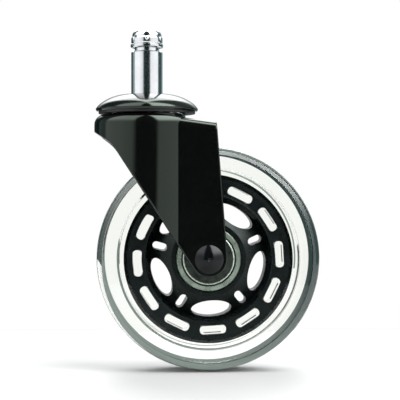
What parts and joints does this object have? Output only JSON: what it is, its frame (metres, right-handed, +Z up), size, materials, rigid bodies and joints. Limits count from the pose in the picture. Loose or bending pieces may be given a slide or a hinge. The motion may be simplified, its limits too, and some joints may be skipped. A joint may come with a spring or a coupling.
{
  "type": "chair caster wheel",
  "caption": "Swivelling office chair caster with a grip-ring stem, a stamped black fork and a clear tyre on a black slotted core running on ball bearings.",
  "frame": {"origin": "on the swivel axis, at the flat land of the swivel cap that the chair's socket rests on (the foot of the stem)", "axes": "+Z up along the stem, towards the chair; +X from the swivel axis towards the wheel's axle, the way the wheel trails; Y along the axle, with left on the -Y side"},
  "size_m": [0.077, 0.0362, 0.1165],
  "materials": {
    "chromed_steel": "polished",
    "spring_steel": "polished",
    "black_gloss_paint": "gloss",
    "black_plastic": "satin",
    "hardened_steel": "satin",
    "ball_steel": "polished",
    "black_oxide_steel": "gloss",
    "plated_steel": "satin",
    "bearing_steel": "satin",
    "cage_steel": "satin",
    "shield_steel": "satin",
    "clear_polyurethane": "clear gloss",
    "black_nylon": "satin"
  },
  "bodies": {
    "stem": {"stem": "chromed_steel", "grip_ring": "spring_steel", "swivel_cap": "black_gloss_paint", "dust_seal": "black_plastic", "upper_race": "hardened_steel", "lower_race": "hardened_steel", "king_washer": "hardened_steel"},
    "upper_ball_set": {"upper_balls": "ball_steel"},
    "lower_ball_set": {"lower_balls": "ball_steel"},
    "fork": {"fork": "black_gloss_paint", "axle": "black_oxide_steel", "bearing_spacer": "plated_steel", "left_axle_washer": "plated_steel", "right_axle_washer": "plated_steel", "left_inner_ring": "bearing_steel", "right_inner_ring": "bearing_steel"},
    "left_ball_set": {"left_cage": "cage_steel", "left_balls": "ball_steel"},
    "right_ball_set": {"right_cage": "cage_steel", "right_balls": "ball_steel"},
    "wheel": {"tyre": "clear_polyurethane", "core": "black_nylon", "left_outer_ring": "bearing_steel", "right_outer_ring": "bearing_steel", "left_outer_shield": "shield_steel", "left_inner_shield": "shield_steel", "right_outer_shield": "shield_steel", "right_inner_shield": "shield_steel"}
  },
  "joints": [
    {"name": "swivel", "type": "hinge", "parent": "stem", "child": "fork", "pos_m": [0, 0, 0], "axis": [0, 0, 1], "continuous": true},
    {"name": "upper_ball_orbit", "type": "hinge", "parent": "stem", "child": "upper_ball_set", "pos_m": [0, 0, 0], "axis": [0, 0, 1], "continuous": true},
    {"name": "lower_ball_orbit", "type": "hinge", "parent": "stem", "child": "lower_ball_set", "pos_m": [0, 0, 0], "axis": [0, 0, 1], "continuous": true},
    {"name": "wheel_spin", "type": "hinge", "parent": "fork", "child": "wheel", "pos_m": [0.0208, 0, -0.0562], "axis": [0, 1, 0], "continuous": true},
    {"name": "left_cage_spin", "type": "hinge", "parent": "fork", "child": "left_ball_set", "pos_m": [0.0208, 0, -0.0562], "axis": [0, 1, 0], "continuous": true},
    {"name": "right_cage_spin", "type": "hinge", "parent": "fork", "child": "right_ball_set", "pos_m": [0.0208, 0, -0.0562], "axis": [0, 1, 0], "continuous": true}
  ],
  "couplings": [
    {"joint": "upper_ball_orbit", "follows": "swivel", "ratio": 0.5},
    {"joint": "lower_ball_orbit", "follows": "swivel", "ratio": 0.5},
    {"joint": "left_cage_spin", "follows": "wheel_spin", "ratio": 0.632},
    {"joint": "right_cage_spin", "follows": "wheel_spin", "ratio": 0.632}
  ]
}
